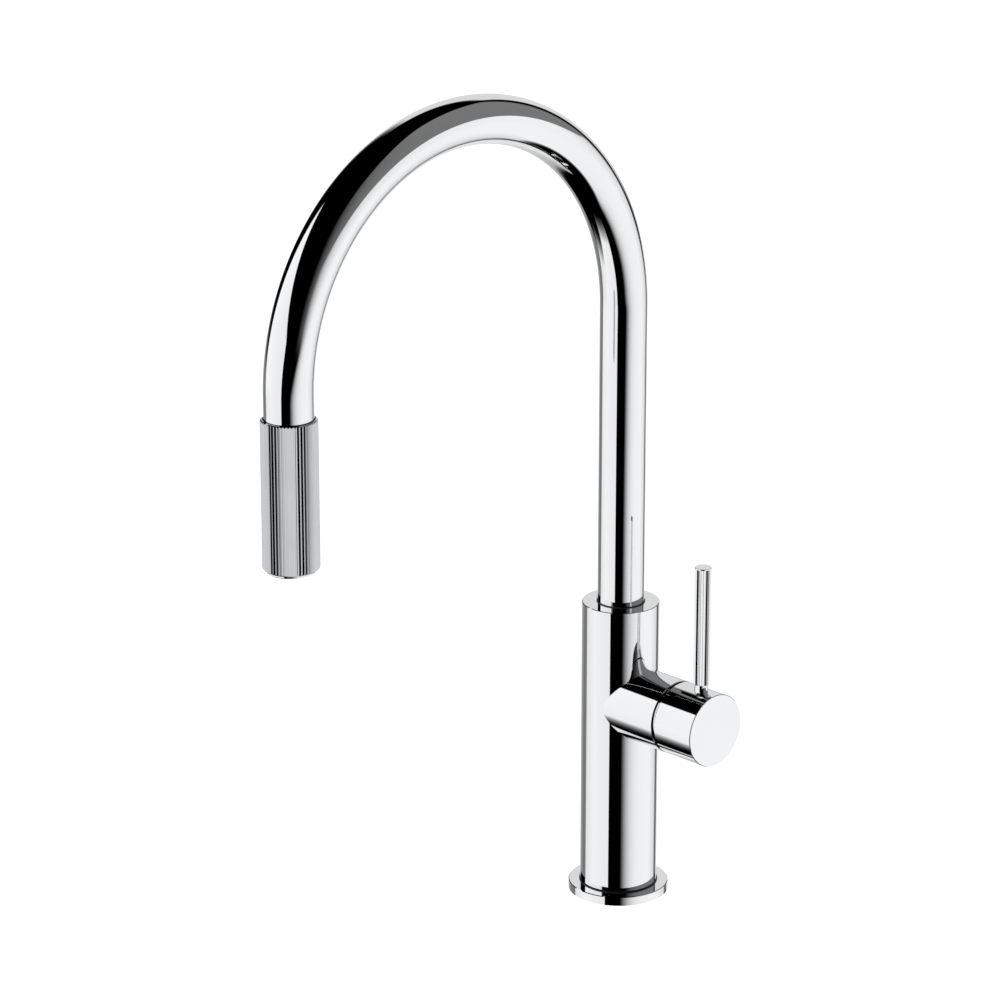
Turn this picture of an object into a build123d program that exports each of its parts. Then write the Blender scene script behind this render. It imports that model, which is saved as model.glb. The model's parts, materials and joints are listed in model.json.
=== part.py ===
from build123d import *
import math
import os

# Pull-down kitchen faucet with a side lever, millimetres.
# The origin is on the axis of the body, in the plane of the deck that the flange stands on.
# +Z is up, -Y is the way the spout reaches, and the side branch and its lever are towards +X.

# --- Flange and body -------------------------------------------------------------------------
FLANGE_D = 60.8
FLANGE_T = 5.6
FLANGE_CHAMFER = 0.4
FOOT_WASHER_PROUD = 0.6
FOOT_WASHER_T = 0.5
BODY_D = 46.6
BODY_TOP_Z = 186.0
BODY_WALL = 2.5
BODY_CHAMFER = 0.35
GASKET_IN_D = 40.0
GASKET_OUT_D = 54.0
GASKET_T = 1.5

# --- Below the deck --------------------------------------------------------------------------
SHANK_D = 32.0
SHANK_WALL = 2.0
SHANK_BOTTOM_Z = -66.0
SHANK_CHAMFER = 1.0
ADAPTER_H = 12.0
DECK_T = 30.0
CLAMP_D = 52.0
CLAMP_GASKET_T = 3.0
CLAMP_WASHER_T = 2.5
NUT_ACROSS_FLATS = 44.0
NUT_H = 10.0
NUT_CHAMFER = 1.0

# --- Branch and cartridge --------------------------------------------------------------------
HUB_D = 44.3
HUB_BELOW_TOP = 61.6
BRANCH_END_X = 47.6
BRANCH_WALL = 2.5
HUB_GAP = 2.0
HUB_LENGTH = 29.2
HUB_WALL = 1.65
HUB_FRONT_T = 3.5
HUB_CHAMFER = 0.35
TILT_X = 27.0
LIFT_MAX_DEG = 18.0
CARTRIDGE_D = 35.0
BLOCK_BELOW_HUB = 40.4
BLOCK_H = 14.0
PLATE_T = 5.7
PLATE_HALF = 16.0
PORT_D = 9.0
PORT_DEPTH = 10.0
PORT_DEPTH_STEP = 1.0
PORT_CIRCLE_R = 14.4
PORT_SPREAD_DEG = 60.0
CHANNEL_D = 4.0
CHANNEL_OFFSET = 9.0
BASE_T = 3.0
FIXED_DISC_T = 2.8
MOVING_DISC_D = 20.0
MOVING_DISC_T = 2.4
CARRIER_D = 21.0
CARRIER_T = 2.75
CHAMBER_D = 32.0
ROTOR_D = 26.0
ROTOR_RIM_D = 30.0
ROTOR_RIM_T = 2.9
HOUSING_LENGTH = 23.8
ROTOR_FRONT_LEDGE = 3.0
CARTRIDGE_NUT_T = 5.5
CARTRIDGE_NUT_BORE_D = 26.0
DOME_R = 30.0
DOME_WALL = 1.4
DOME_HOLE_D = 26.2

# --- Handle ----------------------------------------------------------------------------------
STEM_D = 7.0
STEM_TIP_D = 4.0
STEM_NECK_D = 2.6
STEM_ARM = 3.2
STEM_KNUCKLE_D = 5.2
STEM_END_X = 72.0
PIVOT_PIN_D = 3.0
PIVOT_PIN_LENGTH = 24.0
STEM_BOSS_D = 15.0
STEM_BOSS_REAR_X = 59.5
LEVER_X = 66.8
LEVER_TOP_ABOVE_HUB = 99.5
LEVER_RIDGES_ABOVE_HUB = 26.6
LEVER_D = 10.0
LEVER_NECK_D = 8.0
LEVER_RIDGES = 18
LEVER_CAP_T = 0.8
LEVER_BOSS_D = 13.0
LEVER_END_ABOVE_STEM = 0.2
SET_SCREW_D = 5.0
SET_SCREW_LENGTH = 6.0
SET_SCREW_HEX = 2.5
SET_SCREW_BOSS_D = 10.0

# --- Spout -----------------------------------------------------------------------------------
TUBE_D = 28.0
TUBE_WALL = 1.2
TUBE_PAST_SOCKET = 3.5
ARCH_R = 130.5
ARCH_BASE_Z = 370.0
SOCKET_D = 34.0
SOCKET_DEPTH = 38.0
TOP_LIP_T = 3.0
WIPER_D = 29.2
WIPER_H = 2.0
WIPER_PROUD = 0.4
BUSH_H = 8.0
BUSH_END_GAP = 0.5
CLIP_D = 32.0
CLIP_DEPTH = 0.6
CLIP_T = 1.0
CLIP_SPLIT = 5.0
STOP_PIN_D = 3.2
STOP_PIN_OUT_R = 20.5
STOP_PIN_IN_R = 13.1
SWIVEL_DEG = 120.0

# --- Spray head and hose ---------------------------------------------------------------------
SLEEVE_D = 32.0
SLEEVE_TOP_Z = 356.5
SLEEVE_BOTTOM_Z = 270.2
SLEEVE_RIDGES = 50
SLEEVE_CHAMFER = 0.9
RIDGE_SLOPE_DEG = 30.0
TUBE_IN_SLEEVE = 24.0
SLEEVE_CLEARANCE = 0.6
NOZZLE_D = 27.6
NOZZLE_PROUD = 1.8
NOZZLE_RING_H = 8.6
NOZZLE_RING_WALL = 2.3
NOZZLE_CHAMFER = 0.5
FACE_T = 3.8
FACE_RECESS = 0.8
JET_D = 1.2
JET_CIRCLES = ((7.4, 12), (9.8, 18))
STREAM_INSERT_D = 10.0
STREAM_INSERT_H = 6.0
STREAM_HOLE_D = 1.4
REGULATOR_H = 5.0
HEAD_CHAMBER_D = 18.0
HEAD_CHAMBER_H = 18.0
DOCK_GAP = 0.5
DOCK_LIP_T = 1.5
DOCK_BUSH_H = 16.5
DOCK_BORE_D = 19.2
SPIGOT_D = 18.4
SPIGOT_H = 10.5
NIPPLE_D = 10.0
NIPPLE_BORE_D = 6.4
NIPPLE_PAST_BORE = 3.0
FERRULE_D = 14.4
FERRULE_H = 25.5
FERRULE_POCKET_D = 15.2
FERRULE_SEAT_DEPTH = 22.7
SEAL_DEPTH = 1.1
SEAL_H = 2.4
CHECK_VALVE_H = 12.0
HOSE_D = 12.0
HOSE_WAY_D = 15.0
HOSE_BOTTOM_Z = -80.0
INLET_THREAD_D = 16.66
INLET_THREAD_H = 11.0
INLET_COLLAR_FLATS = 19.0
INLET_COLLAR_H = 4.0
INLET_BORE_D = 8.0

# --- Clearances ------------------------------------------------------------------------------
RUNNING = 0.05
THREAD_RUNNING = 0.08
LOOSE = 0.3
SMALL_STEP = 0.2

# --- Places worked out from the sizes above --------------------------------------------------
FOOT_WASHER_D = BODY_D + 2 * FOOT_WASHER_PROUD
BODY_FOOT_Z = FLANGE_T + FOOT_WASHER_T
BODY_BORE_D = BODY_D - 2 * BODY_WALL
SHANK_BORE_D = SHANK_D - 2 * SHANK_WALL
BRANCH_BORE_D = HUB_D - 2 * BRANCH_WALL
HUB_Z = BODY_TOP_Z - HUB_BELOW_TOP
BLOCK_BOTTOM_Z = HUB_Z - BLOCK_BELOW_HUB
HUB_REAR_X = BRANCH_END_X + HUB_GAP
HUB_FRONT_X = HUB_REAR_X + HUB_LENGTH
PLATE_X = HOSE_WAY_D / 2
CARTRIDGE_X = PLATE_X + PLATE_T
FIXED_DISC_X = CARTRIDGE_X + BASE_T
MOVING_DISC_X = FIXED_DISC_X + FIXED_DISC_T + RUNNING
CARRIER_X = MOVING_DISC_X + MOVING_DISC_T
ROTOR_X = CARRIER_X + CARRIER_T + SMALL_STEP
HOUSING_END_X = FIXED_DISC_X + HOUSING_LENGTH
ROTOR_END_X = HOUSING_END_X - ROTOR_FRONT_LEDGE
DOME_X = HOUSING_END_X + CARTRIDGE_NUT_T
STEM_TIP_X = TILT_X - STEM_ARM
LEVER_TOP_Z = HUB_Z + LEVER_TOP_ABOVE_HUB
LEVER_FLUTED_BOTTOM_Z = HUB_Z + LEVER_RIDGES_ABOVE_HUB
TUBE_BORE_D = TUBE_D - 2 * TUBE_WALL
SOCKET_BOTTOM_Z = BODY_TOP_Z - SOCKET_DEPTH
TUBE_FOOT_Z = SOCKET_BOTTOM_Z - TUBE_PAST_SOCKET
SOCKET_TOP_Z = BODY_TOP_Z - TOP_LIP_T
LOWER_BUSH_Z = SOCKET_BOTTOM_Z + 2 * BUSH_END_GAP + CLIP_DEPTH
UPPER_BUSH_Z = SOCKET_TOP_Z - BUSH_END_GAP - BUSH_H
STOP_PIN_Z = (LOWER_BUSH_Z + BUSH_H + UPPER_BUSH_Z) / 2
CLIP_Z = LOWER_BUSH_Z - BUSH_END_GAP - CLIP_T
REACH = 2 * ARCH_R
TUBE_END_Z = SLEEVE_TOP_Z - TUBE_IN_SLEEVE
CORE_TOP_Z = TUBE_END_Z - DOCK_LIP_T - DOCK_GAP
NOZZLE_Z = SLEEVE_BOTTOM_Z - NOZZLE_PROUD
CORE_BOTTOM_Z = NOZZLE_Z + NOZZLE_RING_H
HEAD_CHAMBER_TOP_Z = CORE_BOTTOM_Z + HEAD_CHAMBER_H
SPIGOT_TOP_Z = CORE_TOP_Z + SPIGOT_H
FERRULE_SEAT_Z = SPIGOT_TOP_Z - FERRULE_SEAT_DEPTH
FERRULE_TOP_Z = FERRULE_SEAT_Z + SMALL_STEP + FERRULE_H
NIPPLE_BOTTOM_Z = HEAD_CHAMBER_TOP_Z - NIPPLE_PAST_BORE
NOZZLE_BORE_D = NOZZLE_D - 2 * NOZZLE_RING_WALL


def ridge_depth(diameter, ridges):
    """Depth of a straight V ridge whose two faces lean by the ridge slope."""
    half_pitch = math.pi * diameter / 2 / ridges
    return half_pitch * math.tan(math.radians(RIDGE_SLOPE_DEG))


def rod(diameter, bottom_z, top_z):
    """A plain upright cylinder between two heights."""
    return Pos(0, 0, bottom_z) * extrude(Circle(diameter / 2), top_z - bottom_z)


def ring(outer_d, bore_d, bottom_z, top_z):
    """An upright tube between two heights."""
    return rod(outer_d, bottom_z, top_z) - rod(bore_d, bottom_z, top_z)


def on_branch(solid):
    """Lays a solid made along Z onto the branch axis, so that its heights become distances along X."""
    return Location((0, 0, HUB_Z), (0, 90, 0)) * solid


def under_spout(solid):
    """Moves a solid made on the Z axis to the axis of the spray head."""
    return Pos(0, -REACH, 0) * solid


def hexagon(across_flats, bottom_z, top_z):
    """A hexagonal prism between two heights."""
    corner_r = across_flats / math.sqrt(3)
    return Pos(0, 0, bottom_z) * extrude(RegularPolygon(corner_r, 6), top_z - bottom_z)


def ridged_rod(diameter, ridges, bottom_z, top_z, end_chamfer):
    """A rod with straight V ridges all round, which run out in a chamfer at both ends."""
    crest = diameter / 2
    root = crest - ridge_depth(diameter, ridges)
    points = []
    for step in range(2 * ridges):
        radius = crest if step % 2 == 0 else root
        angle = math.pi * step / ridges
        points.append((radius * math.cos(angle), radius * math.sin(angle)))
    star = make_face(Polyline(*points, close=True))
    prism = Pos(0, 0, bottom_z) * extrude(star, top_z - bottom_z)
    envelope = rod(diameter, bottom_z, top_z)
    envelope = chamfer(envelope.edges().filter_by(GeomType.CIRCLE), end_chamfer)
    return prism & envelope


def base_flange():
    """Round deck flange with a recess for its gasket and a hole for the shank."""
    flange = rod(FLANGE_D, 0, FLANGE_T)
    top_edge = flange.edges().filter_by(GeomType.CIRCLE).sort_by(Axis.Z)[-1]
    flange = chamfer(top_edge, FLANGE_CHAMFER)
    flange -= rod(SHANK_D + 2 * LOOSE, 0, FLANGE_T)
    return flange - ring(GASKET_OUT_D, GASKET_IN_D, 0, GASKET_T)


def deck_gasket():
    """Soft ring that lies flush in the underside of the flange."""
    return ring(GASKET_OUT_D, GASKET_IN_D, 0, GASKET_T)


def foot_washer():
    """Thin dark washer between the flange and the foot of the body."""
    return ring(FOOT_WASHER_D, SHANK_D + 2 * LOOSE, FLANGE_T, BODY_FOOT_Z)


def body_column():
    """Hollow upright body with a round side opening and the socket that the spout turns in."""
    body = rod(BODY_D, BODY_FOOT_Z, BODY_TOP_Z)
    body = chamfer(body.edges().filter_by(GeomType.CIRCLE), BODY_CHAMFER)
    body -= rod(BODY_BORE_D, BODY_FOOT_Z, SOCKET_BOTTOM_Z)
    body -= rod(SOCKET_D, SOCKET_BOTTOM_Z, SOCKET_TOP_Z)
    body -= rod(WIPER_D, SOCKET_TOP_Z, BODY_TOP_Z)
    body -= on_branch(rod(BRANCH_BORE_D, 0, BRANCH_END_X))
    return body - stop_pin_solid()


def side_branch():
    """Short tube for the valve, its inner end cut to sit on the round body, to which it is brazed."""
    branch = rod(HUB_D, 0, BRANCH_END_X)
    branch = chamfer(branch.edges().filter_by(GeomType.CIRCLE), HUB_CHAMFER)
    branch = on_branch(branch - rod(BRANCH_BORE_D, 0, BRANCH_END_X))
    return branch - rod(BODY_D, BODY_FOOT_Z, BODY_TOP_Z)


def shank_adapter():
    """Threaded ring in the foot of the body that takes the shank."""
    return ring(BODY_BORE_D, SHANK_D, BODY_FOOT_Z, BODY_FOOT_Z + ADAPTER_H)


def threaded_shank():
    """Hollow shank that goes down through the deck."""
    outside = rod(SHANK_D, SHANK_BOTTOM_Z, BODY_FOOT_Z + ADAPTER_H)
    foot_edge = outside.edges().filter_by(GeomType.CIRCLE).sort_by(Axis.Z)[0]
    outside = chamfer(foot_edge, SHANK_CHAMFER)
    return outside - rod(SHANK_BORE_D, SHANK_BOTTOM_Z, BODY_FOOT_Z + ADAPTER_H)


def clamp_gasket():
    """Rubber ring pressed up against the underside of the deck."""
    return ring(CLAMP_D, SHANK_D + 2 * LOOSE, -DECK_T - CLAMP_GASKET_T, -DECK_T)


def clamp_washer():
    """Steel washer under the rubber ring."""
    top_z = -DECK_T - CLAMP_GASKET_T
    return ring(CLAMP_D, SHANK_D + 2 * LOOSE, top_z - CLAMP_WASHER_T, top_z)


def mounting_nut():
    """Hexagonal nut on the shank, its corners turned off by a chamfer."""
    top_z = -DECK_T - CLAMP_GASKET_T - CLAMP_WASHER_T
    corner_d = NUT_ACROSS_FLATS * 2 / math.sqrt(3)
    turned = rod(corner_d, top_z - NUT_H, top_z)
    turned = chamfer(turned.edges().filter_by(GeomType.CIRCLE), NUT_CHAMFER)
    nut = hexagon(NUT_ACROSS_FLATS, top_z - NUT_H, top_z) & turned
    return nut - rod(SHANK_D + 2 * THREAD_RUNNING, top_z - NUT_H, top_z)


def port_places():
    """Centres of the hot, outlet and cold ports, and the offset of the channel that each feeds."""
    places = []
    for side in (-1, 0, 1):
        angle = math.radians(side * PORT_SPREAD_DEG)
        centre = (PORT_CIRCLE_R * math.cos(angle), PORT_CIRCLE_R * math.sin(angle))
        places.append((centre, side * CHANNEL_OFFSET))
    return places


def cartridge_port_height(offset):
    """Height above the branch axis at which a channel meets the cartridge."""
    return CHANNEL_OFFSET if offset == 0 else -CHANNEL_D / 2


def waterway_block():
    """Brass block with three threaded ports underneath and channels to the cartridge seat."""
    top_z = BLOCK_BOTTOM_Z + BLOCK_H
    block = ring(BODY_BORE_D, HOSE_WAY_D, BLOCK_BOTTOM_Z, top_z)
    plate_top_z = HUB_Z + PLATE_HALF
    plate = Box(PLATE_T, 2 * PLATE_HALF, plate_top_z - BLOCK_BOTTOM_Z,
                align=(Align.MIN, Align.CENTER, Align.MIN))
    plate = Pos(PLATE_X, 0, BLOCK_BOTTOM_Z) * plate
    block += plate & rod(BODY_BORE_D, BLOCK_BOTTOM_Z, plate_top_z)
    channel_x = PLATE_X + PLATE_T / 2
    for count, ((port_x, port_y), offset) in enumerate(port_places()):
        meet_z = HUB_Z + cartridge_port_height(offset)
        # each port is a step deeper than the last, so no two floors lie in one plane
        floor_z = BLOCK_BOTTOM_Z + PORT_DEPTH + count * PORT_DEPTH_STEP
        block -= Pos(port_x, port_y, 0) * rod(PORT_D, BLOCK_BOTTOM_Z, floor_z)
        block -= Pos(channel_x, offset, 0) * rod(CHANNEL_D, BLOCK_BOTTOM_Z + PORT_DEPTH / 2, meet_z)
        outlet = rod(CHANNEL_D, channel_x, CARTRIDGE_X)
        block -= Pos(0, offset, meet_z - HUB_Z) * on_branch(outlet)
    return block


def cartridge_port(diameter, start_x, end_x, offset):
    """A round hole through the cartridge's base or fixed disc, in line with one channel."""
    return Pos(0, offset, cartridge_port_height(offset)) * on_branch(rod(diameter, start_x, end_x))


def port_seal_size():
    """Outer diameter and thickness of the three small rubber rings under the cartridge."""
    return CHANNEL_D + 3.0, BASE_T / 2


def port_seals():
    """Three rubber rings between the waterway block and the cartridge."""
    seal_d, seal_t = port_seal_size()
    seals = []
    for _, offset in port_places():
        outside = cartridge_port(seal_d, CARTRIDGE_X, CARTRIDGE_X + seal_t, offset)
        seals.append(outside - cartridge_port(CHANNEL_D, CARTRIDGE_X, CARTRIDGE_X + seal_t, offset))
    return Compound(seals)


def cartridge_base():
    """Plastic disc that closes the cartridge and holds its seals."""
    base = on_branch(rod(CARTRIDGE_D, CARTRIDGE_X, FIXED_DISC_X))
    seal_d, seal_t = port_seal_size()
    for _, offset in port_places():
        base -= cartridge_port(seal_d, CARTRIDGE_X, CARTRIDGE_X + seal_t, offset)
        base -= cartridge_port(CHANNEL_D, CARTRIDGE_X, FIXED_DISC_X, offset)
    return base


def fixed_disc():
    """Ceramic disc with the three ports."""
    disc = on_branch(rod(CHAMBER_D, FIXED_DISC_X, FIXED_DISC_X + FIXED_DISC_T))
    for _, offset in port_places():
        disc -= cartridge_port(CHANNEL_D, FIXED_DISC_X, FIXED_DISC_X + FIXED_DISC_T, offset)
    return disc


def moving_disc():
    """Ceramic disc that slides and turns on the fixed one, with a mixing pocket in its face."""
    disc = rod(MOVING_DISC_D, MOVING_DISC_X, CARRIER_X)
    pocket = rod(MOVING_DISC_D / 2, MOVING_DISC_X, MOVING_DISC_X + MOVING_DISC_T / 2)
    return on_branch(disc - pocket)


def disc_carrier():
    """Plastic carrier that the tip of the stem pushes to and fro."""
    carrier = rod(CARRIER_D, CARRIER_X, CARRIER_X + CARRIER_T)
    return on_branch(carrier - rod(STEM_TIP_D + 4 * RUNNING, CARRIER_X, CARRIER_X + CARRIER_T))


def cartridge_housing():
    """Cartridge shell: a chamber for the discs and a bearing for the rotor."""
    housing = rod(CARTRIDGE_D, FIXED_DISC_X, HOUSING_END_X)
    chamber_end_x = ROTOR_X + ROTOR_RIM_T + LOOSE
    housing -= rod(CHAMBER_D, FIXED_DISC_X, chamber_end_x)
    housing -= rod(ROTOR_D + 2 * RUNNING, chamber_end_x, HOUSING_END_X)
    return on_branch(housing)


def rotor():
    """Turning guide of the cartridge, slotted so that the stem can tip one way in it."""
    turned = rod(ROTOR_RIM_D, ROTOR_X, ROTOR_X + ROTOR_RIM_T) + rod(ROTOR_D, ROTOR_X, ROTOR_END_X)
    body = on_branch(turned)
    tip = math.radians(LIFT_MAX_DEG)
    stem_half = STEM_D / 2 / math.cos(tip)
    slot_top = stem_half + (TILT_X - ROTOR_X) * math.sin(tip) + LOOSE
    slot_bottom = stem_half + (ROTOR_END_X - TILT_X) * math.sin(tip) + LOOSE
    slot = Box(ROTOR_END_X - ROTOR_X, STEM_D + 2 * LOOSE, slot_top + slot_bottom,
               align=(Align.MIN, Align.CENTER, Align.MIN))
    body -= Pos(ROTOR_X, 0, HUB_Z - slot_bottom) * slot
    return body - pivot_pin()


def pivot_pin():
    """Steel pin that the stem tips on."""
    pin = Cylinder(PIVOT_PIN_D / 2, PIVOT_PIN_LENGTH, rotation=(90, 0, 0))
    return Pos(TILT_X, 0, HUB_Z) * pin


def cartridge_nut():
    """Threaded ring that holds the cartridge in the branch."""
    return on_branch(ring(BRANCH_BORE_D, CARTRIDGE_NUT_BORE_D, HOUSING_END_X, DOME_X))


def trim_dome():
    """Polished ring behind the hub: a short collar that closes over as part of a sphere."""
    collar_d = BRANCH_BORE_D - 2 * SMALL_STEP
    reach_x = TILT_X + DOME_R
    outer = rod(collar_d, DOME_X, reach_x) & (Pos(0, 0, TILT_X) * Sphere(DOME_R))
    inner = rod(collar_d - 2 * DOME_WALL, DOME_X, reach_x)
    inner &= Pos(0, 0, TILT_X) * Sphere(DOME_R - DOME_WALL)
    dome = outer - inner - rod(DOME_HOLE_D, DOME_X, reach_x)
    return on_branch(dome)


def stem():
    """Valve stem: a ball tip in the carrier, a pivot hole and a plain shaft into the hub."""
    shaft = rod(STEM_D, TILT_X, STEM_END_X)
    knuckle = Cylinder(STEM_KNUCKLE_D / 2, STEM_D, rotation=(90, 0, 0)) & rod(STEM_D, -STEM_D, STEM_D)
    neck = rod(STEM_NECK_D, STEM_TIP_X, TILT_X)
    ball = Pos(0, 0, STEM_TIP_X) * Sphere(STEM_TIP_D / 2)
    whole = on_branch(shaft + Pos(0, 0, TILT_X) * knuckle + neck + ball)
    pin_hole = Cylinder(PIVOT_PIN_D / 2 + RUNNING, PIVOT_PIN_LENGTH, rotation=(90, 0, 0))
    return whole - Pos(TILT_X, 0, HUB_Z) * pin_hole


def lever_end_z():
    """Height of the lever's lower end, just above the stem that it stops short of."""
    return HUB_Z + STEM_D / 2 + LEVER_END_ABOVE_STEM


def handle_hub():
    """Hollow round hub with a flat front, and bosses inside for the stem, lever and set screw."""
    hub = rod(HUB_D, HUB_REAR_X, HUB_FRONT_X)
    hub = chamfer(hub.edges().filter_by(GeomType.CIRCLE), HUB_CHAMFER)
    hub -= rod(HUB_D - 2 * HUB_WALL, HUB_REAR_X, HUB_FRONT_X - HUB_FRONT_T)
    hub = on_branch(hub + rod(STEM_BOSS_D, STEM_BOSS_REAR_X, HUB_FRONT_X - HUB_FRONT_T))
    bosses = Pos(LEVER_X, 0, 0) * rod(LEVER_BOSS_D, HUB_Z, HUB_Z + HUB_D / 2)
    bosses += Pos(LEVER_X, 0, 0) * rod(SET_SCREW_BOSS_D, HUB_Z - HUB_D / 2, HUB_Z)
    hub += bosses & on_branch(rod(HUB_D - HUB_WALL, HUB_REAR_X, HUB_FRONT_X))
    hub -= on_branch(rod(STEM_D, STEM_BOSS_REAR_X, STEM_END_X))
    hub -= Pos(LEVER_X, 0, 0) * rod(LEVER_NECK_D, HUB_Z, HUB_Z + HUB_D / 2)
    return hub - Pos(LEVER_X, 0, 0) * rod(SET_SCREW_D, HUB_Z - HUB_D / 2, HUB_Z)


def lever_rod():
    """Pin lever: a plain neck screwed into the hub, straight V ridges above it and a flat cap."""
    neck = rod(LEVER_NECK_D, lever_end_z(), LEVER_FLUTED_BOTTOM_Z)
    depth = ridge_depth(LEVER_D, LEVER_RIDGES)
    cap_z = LEVER_TOP_Z - LEVER_CAP_T
    ridged = ridged_rod(LEVER_D, LEVER_RIDGES, LEVER_FLUTED_BOTTOM_Z, cap_z + depth / 2, depth / 2)
    return Pos(LEVER_X, 0, 0) * (neck + ridged + rod(LEVER_D, cap_z, LEVER_TOP_Z))


def hub_set_screw():
    """Grub screw that holds the hub on the stem, reached from underneath."""
    top_z = HUB_Z - STEM_D / 2
    bottom_z = top_z - SET_SCREW_LENGTH
    screw = rod(SET_SCREW_D, bottom_z, top_z)
    return Pos(LEVER_X, 0, 0) * (screw - hexagon(SET_SCREW_HEX, bottom_z, bottom_z + SET_SCREW_HEX))


def arch_tube(outer_d, bore_d):
    """Half a turn of tube, or of solid rod when the bore is zero, over the top of the spout."""
    section = Circle(outer_d / 2)
    if bore_d > 0:
        section = section - Circle(bore_d / 2)
    section = Pos(0, 0, ARCH_BASE_Z) * section
    centre_line = Axis((0, -ARCH_R, ARCH_BASE_Z), (1, 0, 0))
    return revolve(section, centre_line, 180)


def stop_pin_solid():
    """The swivel stop, lying along Y at the back of the socket."""
    length = STOP_PIN_OUT_R - STOP_PIN_IN_R
    pin = Cylinder(STOP_PIN_D / 2, length, rotation=(90, 0, 0))
    return Pos(0, STOP_PIN_IN_R + length / 2, STOP_PIN_Z) * pin


def swivel_slot():
    """Slot round the tube that the stop pin runs in, open for the whole swivel."""
    margin = math.degrees((STOP_PIN_D / 2 + LOOSE) / (TUBE_BORE_D / 2)) + 1.0
    half_open = SWIVEL_DEG + margin
    height = STOP_PIN_D + 2 * LOOSE
    slot = ring(TUBE_D + 1.0, TUBE_BORE_D - 1.0, STOP_PIN_Z - height / 2, STOP_PIN_Z + height / 2)
    closed_half = 180.0 - half_open
    far = TUBE_D
    wide = far * math.tan(math.radians(closed_half))
    wedge = make_face(Polyline((0, 0), (wide, -far), (-wide, -far), close=True))
    return slot - Pos(0, 0, STOP_PIN_Z - height / 2) * extrude(wedge, height)


def spout_tube():
    """Gooseneck tube: a straight riser, half a turn and a short straight end."""
    tube = ring(TUBE_D, TUBE_BORE_D, TUBE_FOOT_Z, ARCH_BASE_Z)
    tube += arch_tube(TUBE_D, TUBE_BORE_D)
    tube += under_spout(ring(TUBE_D, TUBE_BORE_D, TUBE_END_Z, ARCH_BASE_Z))
    tube -= ring(TUBE_D, TUBE_D - 2 * CLIP_DEPTH, CLIP_Z, CLIP_Z + CLIP_T)
    return tube - swivel_slot()


def spout_bush(bottom_z):
    """Plastic bearing ring for the spout."""
    return ring(SOCKET_D, TUBE_D + 2 * RUNNING, bottom_z, bottom_z + BUSH_H)


def spout_wiper_ring():
    """Thin dark ring round the tube where it leaves the top of the body."""
    top_z = BODY_TOP_Z + WIPER_PROUD
    return ring(WIPER_D, TUBE_D + 2 * RUNNING, top_z - WIPER_H, top_z)


def spout_retainer_clip():
    """Split steel ring in a groove of the tube, under the lower bush."""
    clip = ring(CLIP_D, TUBE_D - 2 * CLIP_DEPTH, CLIP_Z, CLIP_Z + CLIP_T)
    split = Box(CLIP_SPLIT, CLIP_D, CLIP_T, align=(Align.CENTER, Align.MAX, Align.MIN))
    return clip - Pos(0, 0, CLIP_Z) * split


def dock_bush():
    """Plastic guide in the end of the spout that centres the spray head."""
    lip_z = TUBE_END_Z - DOCK_LIP_T
    bush = rod(TUBE_D - 2 * LOOSE, lip_z, TUBE_END_Z) + rod(TUBE_BORE_D, lip_z, TUBE_END_Z + DOCK_BUSH_H)
    return under_spout(bush - rod(DOCK_BORE_D, lip_z, TUBE_END_Z + DOCK_BUSH_H))


def spray_hose():
    """Braided hose on the spout's centre line, from its inlet fitting to the end of the arch."""
    return rod(HOSE_D, HOSE_BOTTOM_Z, ARCH_BASE_Z) + arch_tube(HOSE_D, 0)


def hose_end():
    """Last stretch of hose, which draws out as the head is pulled down."""
    return under_spout(rod(HOSE_D, FERRULE_TOP_Z, ARCH_BASE_Z))


def hose_inlet_fitting():
    """Threaded fitting on the lower end of the hose."""
    collar_z = HOSE_BOTTOM_Z - INLET_COLLAR_H
    fitting = hexagon(INLET_COLLAR_FLATS, collar_z, HOSE_BOTTOM_Z)
    fitting += rod(INLET_THREAD_D, collar_z - INLET_THREAD_H, collar_z)
    return fitting - rod(INLET_BORE_D, collar_z - INLET_THREAD_H, HOSE_BOTTOM_Z)


def nipple_seal_z():
    """Height of the seal on the hose coupling, halfway along its bearing."""
    return (HEAD_CHAMBER_TOP_Z + FERRULE_SEAT_Z - SEAL_H) / 2


def hose_coupling():
    """Ferrule and nipple that join the hose to the spray head, which turns on it."""
    ferrule_z = FERRULE_SEAT_Z + SMALL_STEP
    coupling = rod(NIPPLE_D, NIPPLE_BOTTOM_Z, ferrule_z) + rod(FERRULE_D, ferrule_z, FERRULE_TOP_Z)
    coupling -= rod(NIPPLE_BORE_D, NIPPLE_BOTTOM_Z, FERRULE_TOP_Z)
    seal_z = nipple_seal_z()
    coupling -= ring(NIPPLE_D, NIPPLE_D - 2 * SEAL_DEPTH, seal_z, seal_z + SEAL_H)
    clip_z = HEAD_CHAMBER_TOP_Z - BUSH_END_GAP - CLIP_T
    coupling -= ring(NIPPLE_D, NIPPLE_D - 2 * CLIP_DEPTH, clip_z, clip_z + CLIP_T)
    return under_spout(coupling)


def coupling_seal():
    """Rubber ring in the groove of the nipple."""
    seal_z = nipple_seal_z()
    return under_spout(ring(NIPPLE_D, NIPPLE_D - 2 * SEAL_DEPTH, seal_z, seal_z + SEAL_H))


def coupling_clip():
    """Steel ring that keeps the spray head on the nipple."""
    clip_z = HEAD_CHAMBER_TOP_Z - BUSH_END_GAP - CLIP_T
    clip = ring(NIPPLE_D + 4 * CLIP_T, NIPPLE_D - 2 * CLIP_DEPTH, clip_z, clip_z + CLIP_T)
    split = Box(CLIP_SPLIT, NIPPLE_D, CLIP_T, align=(Align.CENTER, Align.MAX, Align.MIN))
    return under_spout(clip - Pos(0, 0, clip_z) * split)


def check_valve():
    """Plastic non-return valve in the bore of the coupling."""
    bottom_z = NIPPLE_BOTTOM_Z + NIPPLE_PAST_BORE
    return under_spout(ring(NIPPLE_BORE_D, NIPPLE_BORE_D / 2, bottom_z, bottom_z + CHECK_VALVE_H))


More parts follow.
